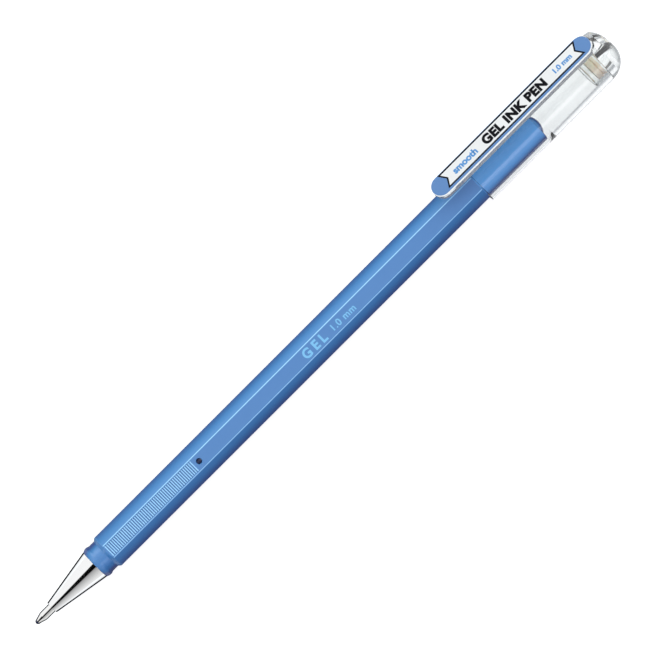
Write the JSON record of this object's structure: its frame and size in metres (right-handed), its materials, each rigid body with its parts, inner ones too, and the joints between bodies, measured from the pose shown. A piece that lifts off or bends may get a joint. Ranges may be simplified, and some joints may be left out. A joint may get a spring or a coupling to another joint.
{
  "type": "capped gel ink pen",
  "caption": "Capped gel pen with an eight-sided barrel, grip grooves, a metal nose cone, a refill and a clear clip cap posted on its tail.",
  "frame": {"origin": "the writing point: the foremost point of the writing ball, on the pen's axis", "axes": "+X along the pen's axis from the writing point to the tail; +Z out of the barrel's top flat, the one with the air hole; the pen lies along X"},
  "size_m": [0.1635, 0.0114, 0.014],
  "materials": {
    "barrel_plastic": "fine satin moulding",
    "nose_chrome": "polished, plated",
    "tip_metal": "drawn nickel silver",
    "ball_metal": "lapped carbide",
    "spring_steel": "bright drawn wire",
    "holder_plastic": "as moulded",
    "tube_plastic": "extruded, translucent",
    "gel_ink": "wet",
    "follower_grease": "wet",
    "clear_plastic": "polished, clear",
    "clip_plastic": "polished, milky",
    "seal_rubber": "matte",
    "label_film": "printed film"
  },
  "bodies": {
    "barrel": {"barrel": "barrel_plastic", "tail_plug": "barrel_plastic"},
    "refill": {"tip_body": "tip_metal", "ball_spring": "spring_steel", "tip_holder": "holder_plastic", "ink_tube": "tube_plastic", "ink": "gel_ink", "ink_follower": "follower_grease"},
    "nose": {"nose_cone": "nose_chrome"},
    "ball": {"writing_ball": "ball_metal"},
    "valve": {"check_ball": "ball_metal"},
    "seal": {"tip_seal": "seal_rubber"},
    "cap": {"cap_tube": "clear_plastic", "cap_crown": "clear_plastic"},
    "clip": {"clip": "clip_plastic", "clip_label": "label_film"}
  },
  "joints": [
    {"name": "refill_slide", "type": "slide", "parent": "barrel", "child": "refill", "axis": [-1, 0, 0], "range_m": [0, 0.006]},
    {"name": "nose_spin", "type": "hinge", "parent": "refill", "child": "nose", "pos_m": [0.0166, 0, 0], "axis": [-1, 0, 0], "range_deg": [0, 2880]},
    {"name": "ball_roll", "type": "hinge", "parent": "refill", "child": "ball", "pos_m": [0.0005, 0, 0], "axis": [0, 1, 0], "continuous": true},
    {"name": "check_ball_slide", "type": "slide", "parent": "refill", "child": "valve", "axis": [1, 0, 0], "range_m": [0, 0.0011]},
    {"name": "cap_pull", "type": "slide", "parent": "barrel", "child": "seal", "axis": [1, 0, 0], "range_m": [0, 0.03]},
    {"name": "cap_turn", "type": "hinge", "parent": "seal", "child": "cap", "pos_m": [0.14, 0, 0], "axis": [1, 0, 0], "continuous": true},
    {"name": "clip_flex", "type": "hinge", "parent": "cap", "child": "clip", "pos_m": [0.1604, 0.00395, 0.00684], "axis": [0, 0.866, -0.5], "range_deg": [0, 4], "stiffness_Nm_per_rad": 2.4}
  ],
  "couplings": [
    {"joint": "nose_spin", "follows": "refill_slide", "rad_per_m": 8377.6}
  ]
}
